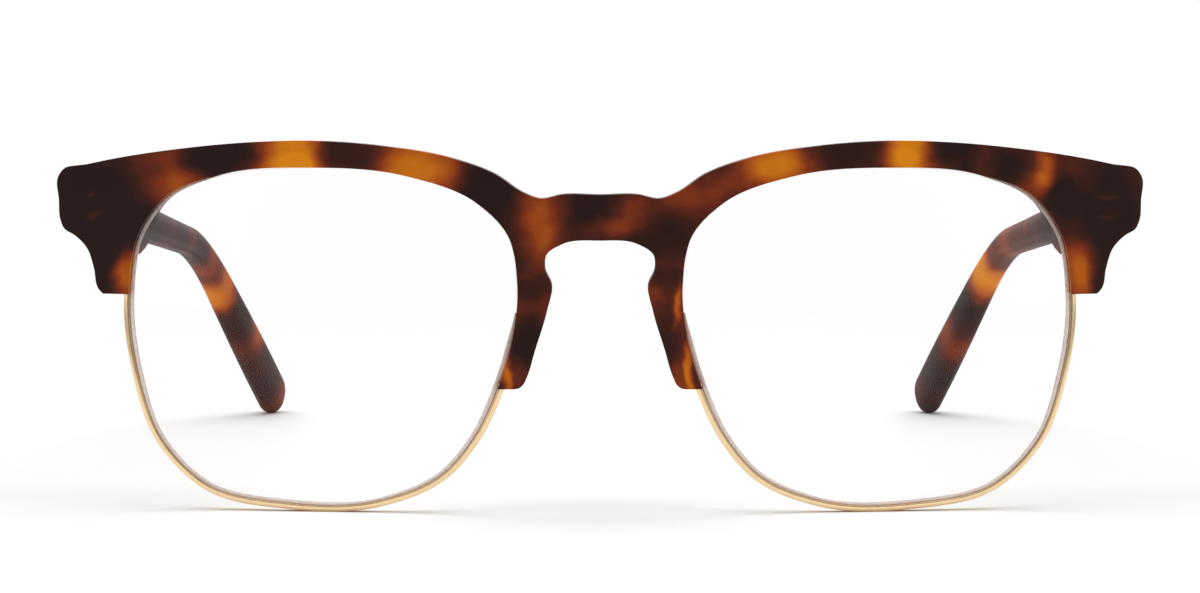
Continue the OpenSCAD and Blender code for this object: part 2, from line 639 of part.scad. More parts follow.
// Tube along the middle of a temple, with a round nose at its end
core_end = temple_len - 2.2 * tip_r;
core_gap = 0.05;
core_shift = max(0, leaf_t + core_d / 2 + 2 * core_gap - temple_t / 2);
core_sides = 12;
function core_ring(s, r) = let (p = path_p(s), t = path_v(s), u = unit([t.y, -t.x, 0]),
    w = cross(u, t)) [for (i = [0:core_sides - 1]) let (a = i * 360 / core_sides)
        p + core_shift * u + r * (cos(a) * u + sin(a) * w)];
module core(r, s0, s1) {
    rings = concat([core_ring(s0, r)],
        [for (i = [0:12]) core_ring(straight_len + i * arc_len / 12, r)],
        [core_ring(s1, r), core_ring(s1 + 0.6 * r, 0.7 * r)]);
    end_v = path_v(s1);
    tip_p = path_p(s1 + 0.8 * r) + core_shift * unit([end_v.y, -end_v.x, 0]);
    polyhedron(concat([for (q = rings) each q], [tip_p]),
        tube_faces(len(rings), core_sides), convexity = 4);
}
module core_wire(side) {
    color(steel_c)
        for_side(side)
            core(core_d / 2, 1, core_end);
}
module temple(side) {
    color(shell_c)
        for_side(side)
            difference() {
                polyhedron(temple_pts, temple_faces, convexity = 4);
                core(core_d / 2 + core_gap, -1, core_end + core_gap);
                along_shaft()
                    translate([-temple_t / 2 - 2, 0.3 - sink_gap, -temple_leaf_w / 2 - sink_gap])
                        cube([leaf_t + 2 + sink_gap, leaf_l + 2 * sink_gap,
                            temple_leaf_w + 2 * sink_gap]);
            }
}

front_frame();
nose_pad(1);  // left_nose_pad
nose_pad(-1);  // right_nose_pad
lens(1);  // left_lens
lens(-1);  // right_lens
rim_wire(1);  // left_rim_wire
rim_wire(-1);  // right_rim_wire
seated() rim_screw(outer_screw_x, outer_screw_z);  // left_outer_rim_screw
seated() rim_screw(inner_tab_x, inner_screw_z);  // left_inner_rim_screw
seated() mirror([1, 0, 0]) rim_screw(outer_screw_x, outer_screw_z);  // right_outer_rim_screw
seated() mirror([1, 0, 0]) rim_screw(inner_tab_x, inner_screw_z);  // right_inner_rim_screw
front_hinge(1);  // left_front_hinge
front_hinge(-1);  // right_front_hinge
temple_hinge(1);  // left_temple_hinge
temple_hinge(-1);  // right_temple_hinge
hinge_screw(1);  // left_hinge_screw
hinge_screw(-1);  // right_hinge_screw
core_wire(1);  // left_core_wire
core_wire(-1);  // right_core_wire
temple(1);  // left_temple
temple(-1);  // right_temple
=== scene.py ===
import math

import bmesh
import bpy
from mathutils import Matrix, Vector, kdtree


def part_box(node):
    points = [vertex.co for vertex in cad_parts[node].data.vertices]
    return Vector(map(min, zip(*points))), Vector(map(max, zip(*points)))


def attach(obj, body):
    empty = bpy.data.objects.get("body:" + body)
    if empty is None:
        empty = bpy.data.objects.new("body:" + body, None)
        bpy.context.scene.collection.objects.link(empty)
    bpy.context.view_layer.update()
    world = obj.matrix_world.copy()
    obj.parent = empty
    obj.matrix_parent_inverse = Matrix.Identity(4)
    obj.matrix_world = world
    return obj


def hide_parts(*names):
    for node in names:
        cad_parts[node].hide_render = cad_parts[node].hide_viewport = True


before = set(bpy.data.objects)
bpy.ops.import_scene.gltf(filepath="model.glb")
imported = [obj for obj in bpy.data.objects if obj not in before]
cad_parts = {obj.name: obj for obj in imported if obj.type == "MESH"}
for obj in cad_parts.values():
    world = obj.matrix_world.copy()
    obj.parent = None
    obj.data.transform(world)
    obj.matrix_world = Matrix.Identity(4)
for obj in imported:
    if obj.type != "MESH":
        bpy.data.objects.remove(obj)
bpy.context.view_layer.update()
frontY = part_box("front_frame")[0].y * 1000  # the bridge's front face, in mm
print("browline glasses: frame loaded")


def smoothStep(a, b, t):
    k = max(0.0, min(1.0, (t - a) / (b - a)))
    return k * k * (3 - 2 * k)


def mix(a, b, k):
    return a + (b - a) * k


# smooth curve through a few points, measured along its chords
class Spline:
    def __init__(self, points, firstSlope=None):
        self.points = [Vector(q) for q in points]
        self.lengths = [0.0]
        for a, b in zip(self.points, self.points[1:]):
            self.lengths.append(self.lengths[-1] + (b - a).length)
        steps = [b - a for a, b in zip(self.lengths, self.lengths[1:])]
        rises = [(b - a) / h for a, b, h in zip(self.points, self.points[1:], steps)]
        inner = [(rises[i] * steps[i - 1] + rises[i - 1] * steps[i]) / (steps[i - 1] + steps[i])
                 for i in range(1, len(steps))]
        self.slopes = [Vector(firstSlope) if firstSlope else rises[0], *inner, rises[-1]]

    def at(self, s):
        i = 0
        while i < len(self.points) - 2 and self.lengths[i + 1] <= s:
            i += 1
        h = self.lengths[i + 1] - self.lengths[i]
        w = (s - self.lengths[i]) / h
        return (self.points[i] * (2 * w**3 - 3 * w**2 + 1) + self.slopes[i] * h * (w**3 - 2 * w**2 + w)
                + self.points[i + 1] * (3 * w**2 - 2 * w**3) + self.slopes[i + 1] * h * (w**3 - w**2))

    # length at point i, where 2.5 is half way from point 2 to point 3
    def key(self, i):
        k = int(math.floor(i))
        if k >= len(self.lengths) - 1:
            return self.lengths[-1]
        return mix(self.lengths[k], self.lengths[k + 1], i - k)

    def run(self, a, b, count, skipFirst=False):
        return [self.at(mix(a, b, i / count)) for i in range(1 if skipFirst else 0, count + 1)]


def finishMesh(bm, name, body, node, material):
    # from millimetres on the bridge's face to metres in the shared frame
    bmesh.ops.translate(bm, vec=(0, frontY, 0), verts=bm.verts)
    bmesh.ops.scale(bm, vec=(0.001, 0.001, 0.001), verts=bm.verts)
    for f in bm.faces:
        f.smooth = True
    mesh = bpy.data.meshes.new(name)
    bm.to_mesh(mesh)
    bm.free()
    piece = bpy.data.objects.new(name, mesh)
    bpy.context.collection.objects.link(piece)
    mesh.materials.append(material)
    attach(piece, body)
    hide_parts(node)
    return piece


def weighNormals(piece, **settings):
    weigh = piece.modifiers.new("weighted normals", "WEIGHTED_NORMAL")
    for k, v in settings.items():
        setattr(weigh, k, v)


def ofKind(geom, kind):
    return [g for g in geom if isinstance(g, kind)]


def ringOf(bm, points):
    verts = [bm.verts.new(p) for p in points]
    edges = [bm.edges.new((verts[i], verts[(i + 1) % len(verts)])) for i in range(len(verts))]
    return verts, edges


def chainOf(bm, verts):
    return [bm.edges.get((a, b)) or bm.edges.new((a, b)) for a, b in zip(verts, verts[1:])]


def ringEdges(bm, verts):
    return [bm.edges.get(pair) for pair in zip(verts, verts[1:] + verts[:1])]


def mirrorX(bm):
    bmesh.ops.scale(bm, vec=(-1, 1, 1), verts=bm.verts)
    bmesh.ops.reverse_faces(bm, faces=bm.faces)


front = {
    "bridgeGap": 21.4,
    "bridgeHeight": 5.9,
    "bridgeDrop": 3.45,  # from the top of the lens to the top of the bridge
    "lensWidth": 51.2,
    "lensHeight": 44.0,
    "thickness": 4.2,
    "bendRadius": 320.0,
    "lugWidth": 9.1,
    "edgeRound": 0.6,
    "roundSteps": 5,
    "sharpAngle": 0.9,  # edges sharper than this are rounded
    "millDepth": 2.3,
    "millReach": 2.0,
    "millShares": (0.17, 0.3, 0.68, 0.86),
    "wallDepth": 0.75,  # from the back to the ring of points before it
    "leafShow": 0.05,
    "rimWidth": 0.8,
    "lugRungs": 66,
    "browRungs": 56,
    "throatRungs": 8,
    "archRungs": 14,
    "legRungs": 44,
    "eyeSamples": 84,
    "lipSamples": 400,
    "lipReach": 0.66,  # from the opening's edge
    "lipDepth": 3.4,  # behind the front face
    "normalWeight": 60,
    "tangentStep": 0.02,
}
nasalX = front["bridgeGap"] / 2
eyeX = nasalX + front["lensWidth"] / 2
sideX = nasalX + front["lensWidth"]
lugX = sideX + front["lugWidth"]

# the eye's outline in halves of its width and height, from the lug over the top
eyeForm = [(0.99, 0.245), (0.93, 0.62), (0.8, 0.82), (0.5, 0.96), (0.057, 1),
           (-0.44, 0.951), (-0.8, 0.79), (-0.95, 0.61), (-1, 0.32), (-0.98, 0.02),
           (-0.9, -0.3), (-0.79, -0.575), (-0.62, -0.81), (-0.3, -0.97), (0.176, -0.992),
           (0.6, -0.885), (0.83, -0.62), (0.95, -0.226)]
eyeCount = len(eyeForm)
# points repeated past both ends keep the closed curve smooth
eyeSpline = Spline([(eyeForm[i % eyeCount][0] * front["lensWidth"] / 2,
                     eyeForm[i % eyeCount][1] * front["lensHeight"] / 2) for i in range(-1, eyeCount + 2)])


def eyeKey(i):
    return eyeSpline.key(i + 1)


def eyePlaces(count):
    return [mix(eyeKey(0), eyeKey(eyeCount), i / count) for i in range(count)]


def eyeLocal(s, out=0.0):
    p = eyeSpline.at(s)
    t = (eyeSpline.at(s + front["tangentStep"]) - eyeSpline.at(s - front["tangentStep"])).normalized()
    return Vector((p.x + out * t.y, p.y - out * t.x))


# the outside of the rims stands on the table
eyeZ = -min(eyeLocal(s, front["rimWidth"]).y for s in eyePlaces(front["eyeSamples"]))
topZ = eyeZ + front["lensHeight"] / 2


def eyeAt(s, out=0.0):
    return eyeLocal(s, out) + Vector((eyeX, eyeZ))


lugS = eyeKey(eyeCount)
legS = eyeKey(10)
lugZ = eyeAt(lugS).y
legZ = eyeAt(legS).y
bridgeZ = topZ - front["bridgeDrop"]
archZ = bridgeZ - front["bridgeHeight"]


def legAt(k):
    return mix(legZ, archZ, k)


# from the middle of the bridge over the brow and down to the lug's tip
browForm = [(-0.672, 1.25), (-0.309, 2.85), (0.07, 3.48), (0.369, 3.25), (0.744, 2.35)]
outerSpline = Spline(
    [(0, bridgeZ), (0.45 * nasalX, bridgeZ + 0.05), (0.735 * nasalX, bridgeZ - 0.48),
     (0.92 * nasalX, bridgeZ + 0.25), (nasalX + 2.8, bridgeZ + 2.65)]
    + [(eyeX + u * front["lensWidth"] / 2, topZ + v) for u, v in browForm]
    + [(sideX + 1.7, topZ + 1.1), (lugX - 3.5, topZ + 0.3), (lugX - 0.65, topZ - 0.3),
       (lugX, topZ - 1.2), (lugX - 0.05, topZ - 4.35), (lugX - 0.25, topZ - 7),
       (lugX - 0.75, topZ - 8.1), (lugX - 2.1, topZ - 8.9), (lugX - 3.8, topZ - 10.6),
       (lugX - 4.7, mix(lugZ, topZ - 10.6, 0.57)), (lugX - 5.35, lugZ + 0.6),
       (lugX - 5.9, lugZ + 0.05)], (1, 0))
# from the middle of the bridge through the keyhole and down to the leg's tip
keyholeSpline = Spline(
    [(0, archZ), (0.46 * nasalX, legAt(0.975)), (0.65 * nasalX, legAt(0.9)),
     (0.667 * nasalX, legAt(0.82)), (0.583 * nasalX, legAt(0.7)), (0.64 * nasalX, legAt(0.525)),
     (0.782 * nasalX, legAt(0.265)), (0.886 * nasalX, legZ + 1.5), (0.93 * nasalX, legZ + 0.55),
     (0.985 * nasalX, legZ + 0.1), (1.06 * nasalX, legZ)],
    (1, 0))


def faceY(x):
    r = front["bendRadius"]
    return r - math.sqrt(r * r - x * x)


buttY = faceY(lugX) + front["thickness"] + front["millDepth"]

lens = {
    "radius": 132.0,
    "thickness": 2.0,
    "inset": 1.9,
    "gap": 0.1,
    "tongue": 0.4,
    "tongueHalf": 0.35,
    "edgeIn": 0.02,
    "edgeStep": 0.2,
    "facetRound": 0.15,
    "facetLeast": 0.06,
    "facetWide": 0.42,
    "facetLow": 0.2,  # narrower by this along the bottom
    "facetLeg": 0.1,  # wider by this beside the leg
    "groundFrom": 0.1,  # narrower facets look clear
    "sections": 240,
    "shrink": (0.9, 0.78, 0.64, 0.5, 0.36, 0.22, 0.1),
}
lensTurn = math.asin((faceY(sideX) - faceY(nasalX)) / front["lensWidth"])
lensSag = lens["radius"] - math.sqrt(lens["radius"] ** 2 - front["lensWidth"] ** 2 / 4)
lensY = (faceY(sideX) + faceY(nasalX)) / 2 + lens["inset"] - lensSag
ballX = eyeX - lens["radius"] * math.sin(lensTurn)
ballY = lensY + lens["radius"] * math.cos(lensTurn)


def lensDepth(x, z, off=0.0):
    r = lens["radius"] - off
    return ballY - math.sqrt(r * r - (x - ballX) ** 2 - (z - eyeZ) ** 2)


def newMaterial(name):
    material = bpy.data.materials.new(name)
    material.use_nodes = True
    material.node_tree.nodes.clear()
    return material, material.node_tree


def addNode(tree, kind, **values):
    # in_ names an input by its words or its number: another node's socket is linked, a value is set
    node = tree.nodes.new("ShaderNode" + kind)
    for k, v in values.items():
        if not k.startswith("in_"):
            setattr(node, k, v)
            continue
        key = k[3:].replace("_", " ")
        socket = node.inputs[int(key) if key.isdigit() else key]
        if isinstance(v, bpy.types.NodeSocket):
            tree.links.new(v, socket)
        else:
            socket.default_value = v
    return node


def colourRamp(tree, fac, stops, interpolation="EASE"):
    ramp = addNode(tree, "ValToRGB", in_0=fac)
    ramp.color_ramp.interpolation = interpolation
    elements = ramp.color_ramp.elements
    while len(elements) > 1:
        elements.remove(elements[-1])
    elements[0].position, elements[0].color = stops[0]
    for place, colour in stops[1:]:
        elements.new(place).color = colour
    return ramp.outputs[0]


def linear(hexText, shade=1.0):
    parts = [int(hexText[i:i + 2], 16) / 255 for i in (0, 2, 4)]
    parts = [c / 12.92 if c <= 0.04045 else ((c + 0.055) / 1.055) ** 2.4 for c in parts]
    return (*(c * shade for c in parts), 1.0)


tortoise = {
    "dark": "25120E",
    "umber": "3C190F",
    "red": "5B2110",
    "brown": "86340D",
    "orange": "B75A0A",
    "amber": "DD8604",
    "stops": ((0.0, "dark"), (0.3, "dark"), (0.42, "umber"), (0.52, "red"), (0.64, "brown"),
              (0.78, "orange"), (0.96, "amber")),
    "ior": 1.48,
    "roughness": 0.46,
    "sheen": 0.14,
    "templeSheen": 0.06,
    "low": 0.30,
    "high": 0.58,
    "cloudScale": 42.0,
    "templeCloudScale": 34.0,
    "stretch": (1.0, 0.6, 1.3),
    "grain": 0.16,
    "grainScale": 6.5,
    "waveScale": 2.4,
    "waveReach": (0.006, 0.004, 0.0055),
    # painted light: how much lighter the lip round the eye openings is painted
    "lipPaintedLight": 0.2,
    "patchEdge": 0.85,
    "frontSpread": 1.8,
    "templeSpread": 1.6,
    "through": 1000,
}


def addPatches(tree, value, patches, scale):
    # each patch: middle and half sizes in mm, strength; a wave roughens its border
    place = addNode(tree, "TexCoord").outputs["Object"]
    wave = addNode(tree, "TexNoise", in_Scale=scale, in_Detail=3.0, in_Roughness=0.55, in_Vector=place)
    centred = addNode(tree, "VectorMath", operation="SUBTRACT", in_0=wave.outputs["Color"],
                      in_1=(0.5, 0.5, 0.5))
    warped = addNode(tree, "VectorMath", operation="MULTIPLY_ADD", in_0=centred.outputs[0],
                     in_1=tortoise["waveReach"], in_2=place)
    for middle, half, strength in patches:
        spot = addNode(tree, "Mapping", vector_type="TEXTURE", in_Vector=warped.outputs[0],
                       in_Location=[c / 1000 for c in middle], in_Scale=[c / 1000 for c in half])
        ball = addNode(tree, "TexGradient", gradient_type="SPHERICAL", in_Vector=spot.outputs[0])
        ease = addNode(tree, "MapRange", interpolation_type="SMOOTHSTEP", in_Value=ball.outputs["Fac"],
                       in_From_Max=tortoise["patchEdge"], in_To_Max=strength)
        value = addNode(tree, "Math", operation="ADD", in_0=value, in_1=ease.outputs[0]).outputs[0]
    return value


def tortoiseMaterial(name, patches, seedShift=(0, 0, 0), cloudScale=tortoise["cloudScale"], level=0.0,
                     sheen=tortoise["sheen"]):
    # soft clouds of dark, red and amber acetate, raised or lowered by soft patches
    material, tree = newMaterial(name)
    place = addNode(tree, "TexCoord").outputs["Object"]
    cloudPlace = addNode(tree, "Mapping", in_Location=seedShift, in_Scale=tortoise["stretch"],
                         in_Vector=place).outputs[0]
    big = addNode(tree, "TexNoise", in_Scale=cloudScale, in_Detail=1.5, in_Roughness=0.5,
                  in_Distortion=0.5, in_Vector=cloudPlace)
    small = addNode(tree, "TexNoise", in_Scale=cloudScale * tortoise["grainScale"], in_Detail=4.0,
                    in_Roughness=0.62, in_Vector=cloudPlace)
    shift = level - tortoise["grain"] / 2
    clouds = addNode(tree, "MapRange", in_Value=big.outputs["Fac"], in_From_Min=0.25, in_From_Max=0.75,
                     in_To_Min=tortoise["low"] + shift, in_To_Max=tortoise["high"] + shift)
    total = addNode(tree, "Math", operation="MULTIPLY_ADD", in_0=small.outputs["Fac"],
                    in_1=tortoise["grain"], in_2=clouds.outputs[0])
    # painted light: the thin lip round the openings is painted lighter, standing in for the light it lets
    # through from the clear lens behind and for the shading of its rounded edge
    lip = addNode(tree, "Attribute", attribute_name="lip")
    lift = addNode(tree, "Math", operation="MULTIPLY_ADD", in_0=lip.outputs["Fac"],
                   in_1=tortoise["lipPaintedLight"], in_2=total.outputs[0])
    value = addPatches(tree, lift.outputs[0], patches, cloudScale * tortoise["waveScale"])
    stops = [(at, linear(tortoise[word])) for at, word in tortoise["stops"]]
    colour = colourRamp(tree, value, stops, "LINEAR")
    shader = addNode(tree, "BsdfPrincipled", in_Roughness=tortoise["roughness"], in_IOR=tortoise["ior"],
                     in_Specular_IOR_Level=sheen, in_Base_Color=colour)
    addNode(tree, "OutputMaterial", in_0=shader.outputs[0])
    return material


# patches of the front: x, z, half width, half height in mm, strength (light above 0, dark below)
frontSpots = (
    # the brow and lug on the wearer's right
    (-40.8, 47.1, 3.2, 3.4, 0.46), (-42.5, 45.2, 6.0, 1.3, 0.16), (-56.1, 44.9, 4.6, 3.8, 0.2),
    (-53.6, 42.6, 3.4, 2.4, 0.16), (-48.6, 46.4, 4.4, 3.0, -0.14), (-52.4, 46.2, 2.2, 2.0, -0.12),
    (-68.4, 40.6, 2.6, 7.0, -0.12), (-63.6, 38.6, 3.6, 4.4, -0.16), (-62.1, 30.8, 1.9, 3.8, 0.38),
    (-65.2, 31.6, 1.5, 5.0, -0.14), (-24.0, 45.0, 4.2, 3.2, 0.34), (-32.9, 46.6, 3.8, 3.2, -0.14),
    # the bridge
    (-15.4, 42.0, 3.4, 3.2, -0.18), (-8.0, 37.2, 2.8, 5.0, 0.36), (-1.3, 39.4, 2.8, 2.0, -0.08),
    (0.4, 36.6, 3.4, 1.3, 0.12), (4.2, 38.2, 3.4, 2.2, 0.16), (7.8, 35.8, 4.2, 3.0, -0.16),
    (13.4, 41.8, 4.2, 2.4, 0.18),
    # the legs beside the nose
    (-9.0, 30.0, 2.2, 1.3, -0.14), (-9.3, 23.0, 2.0, 3.6, -0.16), (-10.6, 17.9, 1.8, 2.2, 0.16),
    (8.8, 30.1, 2.0, 1.3, -0.14), (8.9, 23.0, 2.0, 3.6, -0.16), (10.6, 17.9, 1.8, 2.2, 0.16),
    (-12.1, 18.7, 0.5, 2.8, 0.3), (12.1, 18.9, 0.5, 3.0, 0.3), (10.3, 27.0, 0.4, 2.0, 0.24),
    # the brow and lug on the wearer's left
    (39.6, 47.0, 2.6, 3.4, 0.46), (42.0, 45.3, 5.0, 1.3, 0.14), (22.4, 44.8, 4.6, 3.2, 0.38),
    (31.0, 46.6, 3.8, 3.0, -0.16), (47.6, 46.6, 4.4, 3.0, -0.15), (57.5, 45.2, 1.6, 2.6, 0.3),
    (56.2, 42.6, 1.8, 1.8, 0.2), (50.2, 45.8, 1.4, 2.4, 0.16), (59.8, 41.6, 2.4, 2.6, -0.16),
    (54.6, 44.6, 2.6, 2.6, -0.1), (62.7, 31.2, 2.0, 4.2, 0.34), (66.4, 31.6, 1.6, 4.6, -0.1),
    (68.0, 40.8, 2.6, 6.4, -0.12), (63.8, 38.8, 3.8, 4.8, -0.16),
    # painted light: small lighter spots where light through the acetate passes between the knuckles of the
    # hinges behind the lugs
    (-66.3, 41.8, 0.9, 0.35, 0.2), (-66.2, 39.5, 1.0, 0.6, 0.24),
    (66.3, 41.8, 0.9, 0.35, 0.16), (66.2, 39.5, 1.0, 0.5, 0.14),
)


def frontPatch(x, z, halfX, halfZ, strength):
    spread = tortoise["frontSpread"]
    return (x, 0, z), (spread * halfX, tortoise["through"], spread * halfZ), strength


frontAcetate = tortoiseMaterial("tortoise front", [frontPatch(*spot) for spot in frontSpots])
padAcetate = tortoiseMaterial("tortoise pads", [], (0.1, 0.2, 0), level=0.02)

metal = {
    "grainScale": 900.0,
    "bumpDepth": 0.00002,
    "shade": 0.94,  # of the darker grains
    "smoothest": 0.85,  # in shares of the roughness
    "roughest": 1.2,
}


def metalMaterial(name, colour, roughness, grain=0.0):
    material, tree = newMaterial(name)
    place = addNode(tree, "TexCoord").outputs["Object"]
    noise = addNode(tree, "TexNoise", in_Scale=metal["grainScale"], in_Detail=3.0,
                    in_Vector=place).outputs["Fac"]
    tone = colourRamp(tree, noise, [(0.3, linear(colour, metal["shade"])), (0.7, linear(colour))])
    gloss = addNode(tree, "MapRange", in_Value=noise, in_To_Min=roughness * metal["smoothest"],
                    in_To_Max=roughness * metal["roughest"])
    shader = addNode(tree, "BsdfPrincipled", in_Metallic=1.0, in_Base_Color=tone,
                     in_Roughness=roughness)
    tree.links.new(gloss.outputs[0], shader.inputs["Roughness"])
    if grain:
        bump = addNode(tree, "Bump", in_Strength=grain, in_Distance=metal["bumpDepth"], in_Height=noise)
        tree.links.new(bump.outputs[0], shader.inputs["Normal"])
    addNode(tree, "OutputMaterial", in_0=shader.outputs[0])
    return material


goldMetal = metalMaterial("pale gold", "F6D8AA", 0.2)
hingeMetal = metalMaterial("gold hinge", "E2C487", 0.24, 0.2)
screwMetal = metalMaterial("turned steel", "C9C5BB", 0.26, 0.2)
coreMetal = metalMaterial("drawn wire", "B8B2A4", 0.3, 0.2)

resin = {
    "tint": (0.996, 0.998, 0.998, 1),
    "ior": 1.2,  # low gloss, as coated
    "lampTint": (0.96, 0.97, 0.97, 1),
    "groundIor": 1.5,
    "groundRoughness": 0.45,
    "groundClear": 0.25,
    "groundScale": 2600.0,
    "groundTones": ("D3BFB3", "E8D8CE"),
}


def lensMaterial(name):
    # clear resin that lets the lamps through
    material, tree = newMaterial(name)
    shader = addNode(tree, "BsdfPrincipled", in_Roughness=0.0, in_IOR=resin["ior"],
                     in_Base_Color=resin["tint"], in_Transmission_Weight=1.0)
    clear = addNode(tree, "BsdfTransparent", in_0=resin["lampTint"])
    path = addNode(tree, "LightPath")
    blend = addNode(tree, "MixShader", in_0=path.outputs["Is Shadow Ray"], in_1=shader.outputs[0],
                    in_2=clear.outputs[0])
    addNode(tree, "OutputMaterial", in_0=blend.outputs[0])
    return material


def groundMaterial(name):
    # the facet that the grinding wheel leaves round the lens
    material, tree = newMaterial(name)
    place = addNode(tree, "TexCoord").outputs["Object"]
    noise = addNode(tree, "TexNoise", in_Scale=resin["groundScale"], in_Detail=2.0, in_Vector=place)
    darker, paler = resin["groundTones"]
    tone = colourRamp(tree, noise.outputs["Fac"], [(0.3, linear(darker)), (0.7, linear(paler))])
    shader = addNode(tree, "BsdfPrincipled", in_Base_Color=tone, in_Roughness=resin["groundRoughness"],
                     in_IOR=resin["groundIor"], in_Transmission_Weight=resin["groundClear"])
    addNode(tree, "OutputMaterial", in_0=shader.outputs[0])
    return material


clearResin = lensMaterial("clear lens")
frostedEdge = groundMaterial("ground lens edge")
print("materials ready")


def millShare(i):
    # the mitred end is deeper between these shares of the lug's rungs
    k = i / front["lugRungs"]
    a, b, c, d = front["millShares"]
    return smoothStep(a, b, k) * (1 - smoothStep(c, d, k))


def frontEdges():
    # the band's two edges from the lug's tip to the middle of the bridge, and the leg's two sides
    lug, brow, throat, arch, leg = (front[k + "Rungs"] for k in ("lug", "brow", "throat", "arch", "leg"))
    overLug, overNose, besideArch = (outerSpline.key(i) for i in (9, 4, 2))
    outer = outerSpline.run(outerSpline.lengths[-1], overLug, lug)
    outer += outerSpline.run(overLug, overNose, brow, True)
    outer += outerSpline.run(overNose, besideArch, throat, True)
    outer += outerSpline.run(besideArch, 0, arch, True)
    rootS = mix(eyeKey(7), eyeKey(8), 0.5)
    throatS = keyholeSpline.key(2.4)
    inner = [eyeAt(mix(eyeKey(0), eyeKey(3), i / lug)) for i in range(lug + 1)]
    inner += [eyeAt(mix(eyeKey(3), rootS, i / brow)) for i in range(1, brow + 1)]
    eyeRoot, keyRoot = inner[-1], keyholeSpline.at(throatS)
    inner += [mix(eyeRoot, keyRoot, i / throat) for i in range(1, throat + 1)]
    inner += keyholeSpline.run(throatS, 0, arch, True)
    legEye = [eyeAt(mix(rootS, legS, j / leg)) for j in range(1, leg + 1)]
    legKey = keyholeSpline.run(throatS, keyholeSpline.lengths[-1], leg, True)
    return outer, inner, legEye, legKey


def frontSheet(bm, mill, reach):
    # the flat face of one half, whose points keep how deep the milled end is behind them
    outer, inner, legEye, legKey = frontEdges()

    def vertAt(p, share=0.0):
        v = bm.verts.new((p.x, 0, p.y))
        v[mill] = share
        return v

    outerV = [vertAt(p, millShare(i)) for i, p in enumerate(outer)]
    innerV = [vertAt(p, millShare(i)) for i, p in enumerate(inner)]
    for v in innerV:
        v[reach] = v[mill]
    eyeV = [vertAt(p) for p in legEye]
    keyV = [vertAt(p) for p in legKey]
    bmesh.ops.bridge_loops(bm, edges=chainOf(bm, outerV) + chainOf(bm, innerV))
    bmesh.ops.bridge_loops(bm, edges=chainOf(bm, eyeV) + chainOf(bm, keyV))
    root = front["lugRungs"] + front["browRungs"]
    bm.faces.new([eyeV[0], *innerV[root:root + front["throatRungs"] + 1], keyV[0]])


def markLip(bm):
    # the rounded front edge of the eye openings, where the front acetate gets painted light
    lip = bm.faces.layers.float.new("lip")
    outline = kdtree.KDTree(front["lipSamples"])
    for i, s in enumerate(eyePlaces(front["lipSamples"])):
        q = eyeAt(s)
        outline.insert((q.x, 0, q.y), i)
    outline.balance()
    for f in bm.faces:
        c = f.calc_center_median()
        near = outline.find((abs(c.x), 0, c.z))[2]
        if near < front["lipReach"] and c.y < front["lipDepth"]:
            f[lip] = 1.0


def buildFront():
    onPlane = 1e-6
    bm = bmesh.new()
    mill = bm.verts.layers.float.new("mill")
    reach = bm.verts.layers.float.new("reach")
    frontSheet(bm, mill, reach)
    for v in bm.verts:
        if abs(v.co.x) < onPlane:
            v.co.x = 0
    bmesh.ops.mirror(bm, geom=bm.verts[:] + bm.edges[:] + bm.faces[:], axis="X", merge_dist=1e-5)
    bmesh.ops.recalc_face_normals(bm, faces=bm.faces)
    if sum(f.normal.y for f in bm.faces) > 0:
        bmesh.ops.reverse_faces(bm, faces=bm.faces)
    # a wall behind the face, then the back with the milled ends
    wall = bmesh.ops.extrude_face_region(bm, geom=bm.faces[:], use_keep_orig=True)["geom"]
    for v in ofKind(wall, bmesh.types.BMVert):
        v.co.y = front["thickness"] - front["wallDepth"]
    back = bmesh.ops.extrude_face_region(bm, geom=ofKind(wall, bmesh.types.BMFace))["geom"]
    for v in ofKind(back, bmesh.types.BMVert):
        v.co.y = mix(front["thickness"], buttY - front["leafShow"] - faceY(v.co.x), v[mill])
        wallX = math.copysign(min(abs(v.co.x), sideX - front["millReach"]), v.co.x)
        v.co.x = mix(v.co.x, wallX, v[reach])
    bmesh.ops.recalc_face_normals(bm, faces=bm.faces)
    sharp = [e for e in bm.edges if len(e.link_faces) == 2 and e.calc_face_angle(0) > front["sharpAngle"]
             and (abs(e.verts[0].co.y) < onPlane) == (abs(e.verts[1].co.y) < onPlane)]
    bmesh.ops.bevel(bm, geom=sharp, offset=front["edgeRound"], offset_type="OFFSET", affect="EDGES",
                    segments=front["roundSteps"], profile=0.5, material=-1, clamp_overlap=True,
                    loop_slide=False)
    markLip(bm)
    for v in bm.verts:
        v.co.y += faceY(v.co.x)
    piece = finishMesh(bm, "tortoise_front", "front", "front_frame", frontAcetate)
    weighNormals(piece, keep_sharp=False, weight=front["normalWeight"])
    return piece


tortoiseFront = buildFront()
print("front made:", len(tortoiseFront.data.polygons), "faces")


def facetWidth(i):
    # the ground facet is wide down the outer side and beside the leg, narrow along the bottom
    k = eyeCount * i / lens["sections"]
    outside = 1 - smoothStep(1.2, 2.6, k)
    beside = smoothStep(8.2, 8.9, k)
    bottom = smoothStep(10.6, 12.5, k) * (1 - smoothStep(15.2, 16.8, k))
    leg = beside * (1 - smoothStep(9.6, 10.6, k))
    return (lens["facetLeast"] + lens["facetWide"] * max(outside, beside) - lens["facetLow"] * bottom
            + lens["facetLeg"] * leg)


def lensBorder():
    # outlines from the tongue inwards, each with its distance from the lens's middle surface
    places = eyePlaces(lens["sections"])
    gap, half, edge = lens["gap"], lens["thickness"] / 2, lens["facetRound"]
    border = [([eyeAt(s, lens["tongue"]) for s in places], lens["tongueHalf"]),
              ([eyeAt(s, -gap) for s in places], lens["tongueHalf"]),
              ([eyeAt(s, -gap - lens["edgeIn"]) for s in places], half - lens["edgeStep"]),
              ([eyeAt(s, -gap - facetWidth(i)) for i, s in enumerate(places)], half),
              ([eyeAt(s, -gap - edge - facetWidth(i)) for i, s in enumerate(places)], half)]
    inside = border[-1][0]
    centre = Vector((eyeX, eyeZ))
    return border + [([centre + (p - centre) * factor for p in inside], half) for factor in lens["shrink"]]


